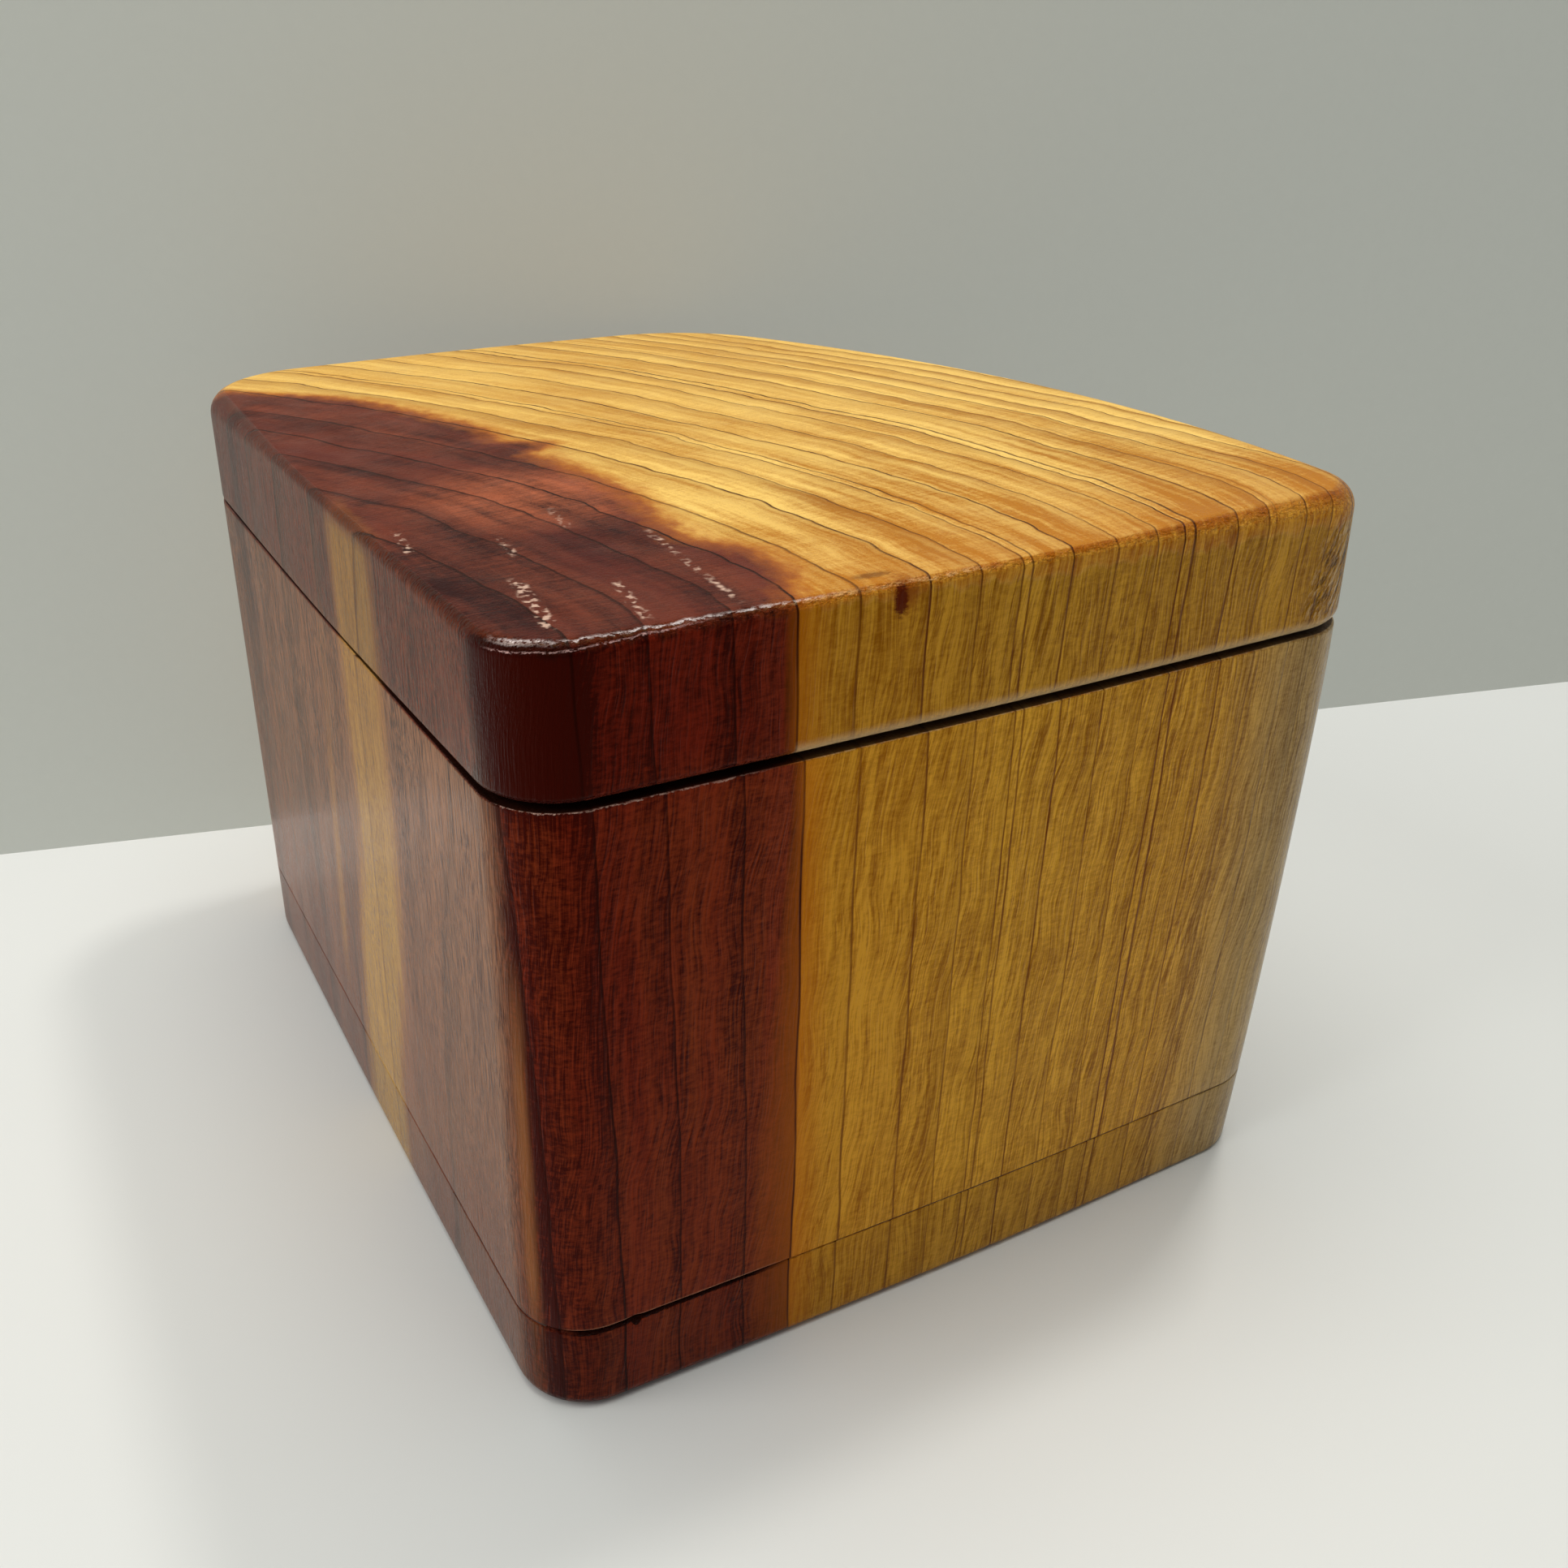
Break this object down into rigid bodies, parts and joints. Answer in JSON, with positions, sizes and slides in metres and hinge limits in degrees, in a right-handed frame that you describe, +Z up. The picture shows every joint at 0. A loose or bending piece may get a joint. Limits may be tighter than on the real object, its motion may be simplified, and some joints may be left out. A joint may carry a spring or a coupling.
{
  "type": "lidded wooden box",
  "caption": "Keepsake box sawn from one block of aromatic cedar, with a thick lift-off lid, a floor slice glued on, and one long side that follows the curve of the bark.",
  "frame": {"origin": "under the middle of the block's bounding box, on the face that rests on the table", "axes": "+Z up along the grain and out of the lid, -Y out of the flat front face, -X out of the flat left face, +X towards the bowed bark side"},
  "size_m": [0.1214, 0.1454, 0.1],
  "materials": {
    "cedar": "satin",
    "raw_cedar": "matte",
    "glue": "matte"
  },
  "bodies": {
    "box": {"base_slab": "cedar", "base_glue_line": "glue", "body_ring": "cedar"},
    "lid": {"lid_slab": "cedar", "plug_glue_line": "glue", "lid_plug": "raw_cedar"}
  },
  "joints": [
    {"name": "lid_lift", "type": "slide", "parent": "box", "child": "lid", "axis": [0, 0, 1], "range_m": [0, 0.1]}
  ]
}
